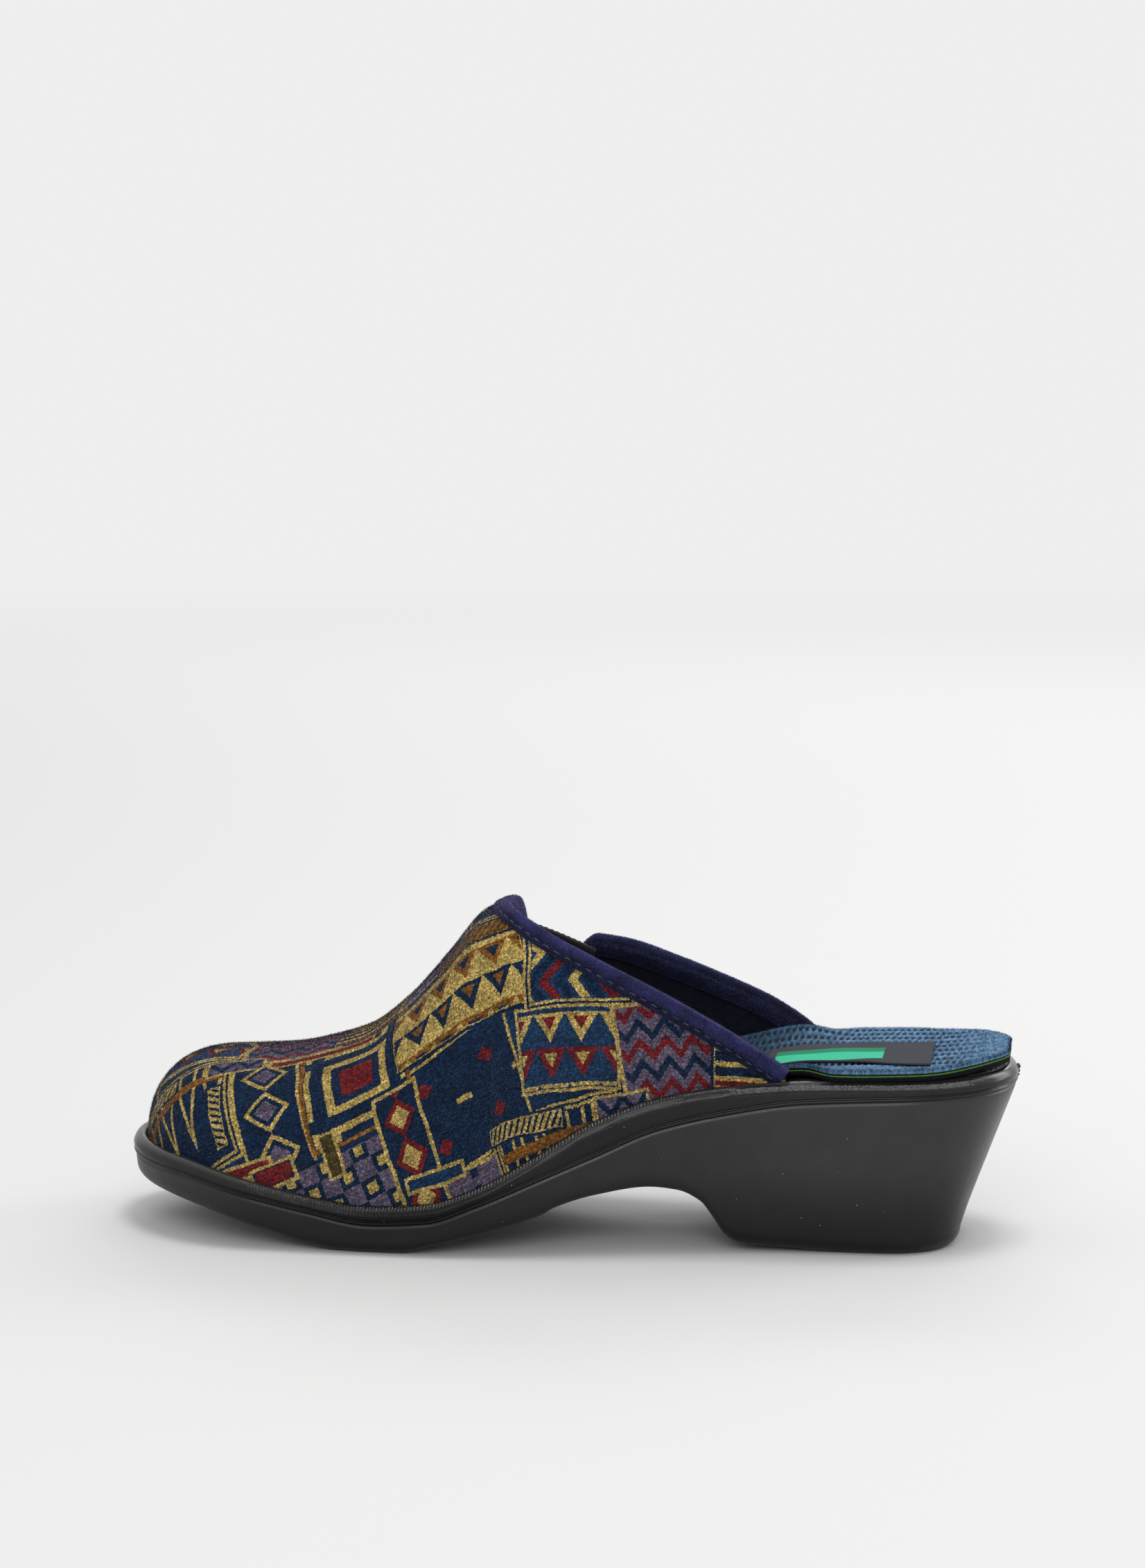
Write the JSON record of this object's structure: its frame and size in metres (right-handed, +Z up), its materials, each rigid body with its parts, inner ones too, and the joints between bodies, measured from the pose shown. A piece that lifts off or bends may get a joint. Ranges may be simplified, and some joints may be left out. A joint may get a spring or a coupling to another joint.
{
  "type": "house slipper",
  "caption": "Left house slipper: a closed-toe mule with a velour upper, a bound collar, an elastic gusset, a loose textile insole and a moulded black sole with a raised heel.",
  "frame": {"origin": "on the floor, under the middle of the sole's outline", "axes": "+X from the toe to the heel, +Y towards the inner side of the foot, +Z up"},
  "size_m": [0.26, 0.0934, 0.0961],
  "materials": {
    "sole": "satin black moulded polyurethane foam",
    "upper": "short-pile velour with a multicoloured geometric print",
    "binding": "navy velvet tape with one stitch line",
    "gore": "black ribbed elastic",
    "insole_base": "dark fibre board with a green face",
    "insole_cover": "steel-blue knitted textile with small pits",
    "insole_label": "charcoal woven tape with a plain green block"
  },
  "bodies": {
    "root": {"sole": "sole", "upper": "upper", "binding_front": "binding", "binding_rear": "binding", "gore": "gore", "insole_base": "insole_base", "insole_cover": "insole_cover", "insole_label": "insole_label"}
  },
  "joints": []
}
